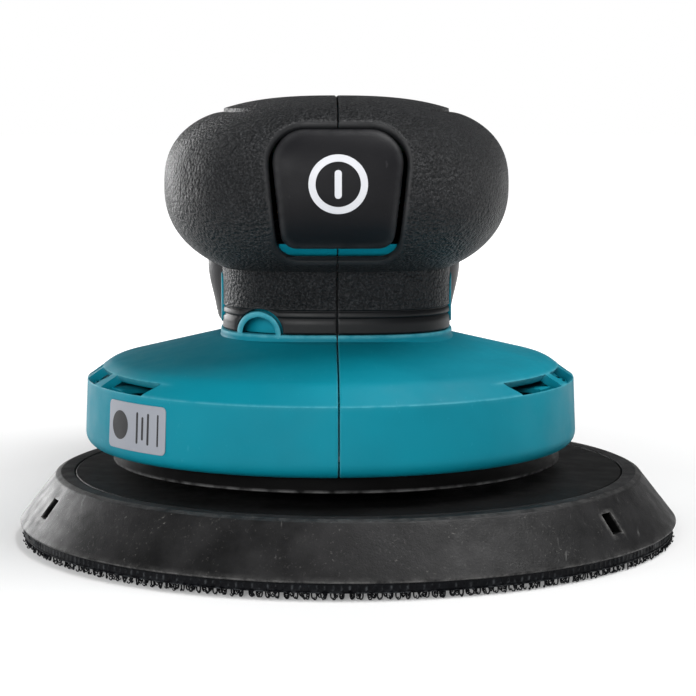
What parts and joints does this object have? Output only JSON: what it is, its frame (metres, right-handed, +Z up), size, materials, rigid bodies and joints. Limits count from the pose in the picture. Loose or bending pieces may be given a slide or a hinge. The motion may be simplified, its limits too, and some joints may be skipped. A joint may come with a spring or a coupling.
{
  "type": "orbital sander",
  "caption": "Cordless random-orbit sander: palm-grip head with a front power button, round fan bell, eccentric spindle and bevelled hook-and-loop pad, slide-on battery.",
  "frame": {"origin": "motor axis at the working plane, which is the underside of the pad's hook layer", "axes": "+Z up along the motor axis, -Y towards the front with the power button, +Y towards the battery, +X to the right seen from the front"},
  "size_m": [0.15, 0.209, 0.0995],
  "materials": {
    "teal_plastic": "satin moulded",
    "grip_rubber": "fine grain",
    "tail_plastic": "fine texture",
    "dark_plastic": "moulded",
    "button_plastic": "satin",
    "icon_print": "printed",
    "sticker": "printed film",
    "skirt_rubber": "smooth",
    "pad_rubber": "moulded, scuffed",
    "plate_plastic": "satin",
    "hook_fabric": "hook tape",
    "steel": "turned",
    "bearing_steel": "ground",
    "cast_alloy": "die cast",
    "lamination": "stacked sheet",
    "copper": "enamelled wire",
    "contact_brass": "stamped",
    "board": "solder mask",
    "wire_sleeve": "sleeving",
    "cell_wrap": "shrink wrap",
    "battery_plastic": "moulded"
  },
  "bodies": {
    "housing": {"shell_left": "teal_plastic", "shell_right": "teal_plastic", "grip_left": "grip_rubber", "grip_right": "grip_rubber", "side_panel_left": "teal_plastic", "side_panel_right": "teal_plastic", "tail_cover": "tail_plastic", "battery_rails": "dark_plastic", "terminal_block": "contact_brass", "brake_ring": "skirt_rubber", "info_sticker": "sticker", "motor_stator": "lamination", "stator_windings": "copper", "upper_bearing": "bearing_steel", "lower_bearing": "bearing_steel", "motor_bracket": "cast_alloy", "bearing_cap": "dark_plastic", "bracket_screws": "steel", "fan_baffle": "dark_plastic", "control_board": "board", "switch_module": "dark_plastic", "button_spring": "steel", "motor_wires": "wire_sleeve", "housing_screws": "steel"},
    "spindle": {"motor_shaft": "steel", "motor_rotor": "lamination", "fan": "dark_plastic", "eccentric_hub": "cast_alloy", "counterweight": "steel", "hub_screw": "steel", "pad_bearing_upper": "bearing_steel", "pad_bearing_lower": "bearing_steel"},
    "pad": {"pad_arbor": "steel", "backing_plate": "plate_plastic", "pad_foam": "pad_rubber", "hook_layer": "hook_fabric", "pad_stud": "steel"},
    "button": {"power_button": "button_plastic", "button_icon": "icon_print"},
    "battery": {"battery_lid": "battery_plastic", "battery_tub": "battery_plastic", "battery_cells": "cell_wrap", "cell_straps": "steel", "battery_contacts": "contact_brass", "battery_screws": "steel", "latch_spring": "steel"},
    "latch": {"battery_latch": "dark_plastic"}
  },
  "joints": [
    {"name": "motor_spin", "type": "hinge", "parent": "housing", "child": "spindle", "pos_m": [0, 0, 0.03], "axis": [0, 0, 1], "continuous": true},
    {"name": "pad_spin", "type": "hinge", "parent": "spindle", "child": "pad", "pos_m": [0.00275, 0, 0.02], "axis": [0, 0, 1], "continuous": true},
    {"name": "button_press", "type": "slide", "parent": "housing", "child": "button", "axis": [0, 1, 0], "range_m": [0, 0.0015], "stiffness_N_per_m": 1500, "springref_m": -0.001, "deforming": ["button_spring"]},
    {"name": "battery_slide", "type": "slide", "parent": "housing", "child": "battery", "axis": [0, 1, 0], "range_m": [0, 0.09]},
    {"name": "latch_press", "type": "slide", "parent": "battery", "child": "latch", "axis": [0, 0, -1], "range_m": [0, 0.003], "stiffness_N_per_m": 900, "springref_m": -0.001, "deforming": ["latch_spring"]}
  ]
}
